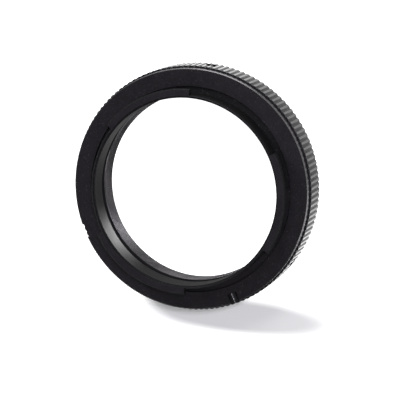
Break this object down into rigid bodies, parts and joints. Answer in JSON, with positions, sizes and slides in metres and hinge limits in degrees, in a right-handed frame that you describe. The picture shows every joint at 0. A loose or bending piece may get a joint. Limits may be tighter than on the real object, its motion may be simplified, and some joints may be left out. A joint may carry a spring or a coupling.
{
  "type": "camera t-ring",
  "caption": "Black camera t-ring adapter: knurled rim, flange seat and lugged bayonet collar in front, with a turnable threaded ring clamped in the rear by radial set screws.",
  "frame": {"origin": "centre of the rear face, on the ring's axis, where the ring stands on a surface", "axes": "+Z along the ring's axis from the threaded rear to the bayonet; +Y through the first set screw; -X through the lock slot"},
  "size_m": [0.0542, 0.0542, 0.0127],
  "materials": {
    "black_anodised": "satin black anodised",
    "blackened_steel": "blackened"
  },
  "bodies": {
    "body": {"bayonet_body": "black_anodised"},
    "ring": {"thread_ring": "black_anodised"},
    "screw_1": {"set_screw_1": "blackened_steel"},
    "screw_2": {"set_screw_2": "blackened_steel"},
    "screw_3": {"set_screw_3": "blackened_steel"}
  },
  "joints": [
    {"name": "ring_turn", "type": "hinge", "parent": "body", "child": "ring", "pos_m": [0, 0, 0], "axis": [0, 0, 1], "continuous": true},
    {"name": "screw_1_travel", "type": "slide", "parent": "body", "child": "screw_1", "axis": [0, 1, 0], "range_m": [0, 0.001]},
    {"name": "screw_2_travel", "type": "slide", "parent": "body", "child": "screw_2", "axis": [-0.866, -0.5, 0], "range_m": [0, 0.001]},
    {"name": "screw_3_travel", "type": "slide", "parent": "body", "child": "screw_3", "axis": [0.866, -0.5, 0], "range_m": [0, 0.001]}
  ]
}
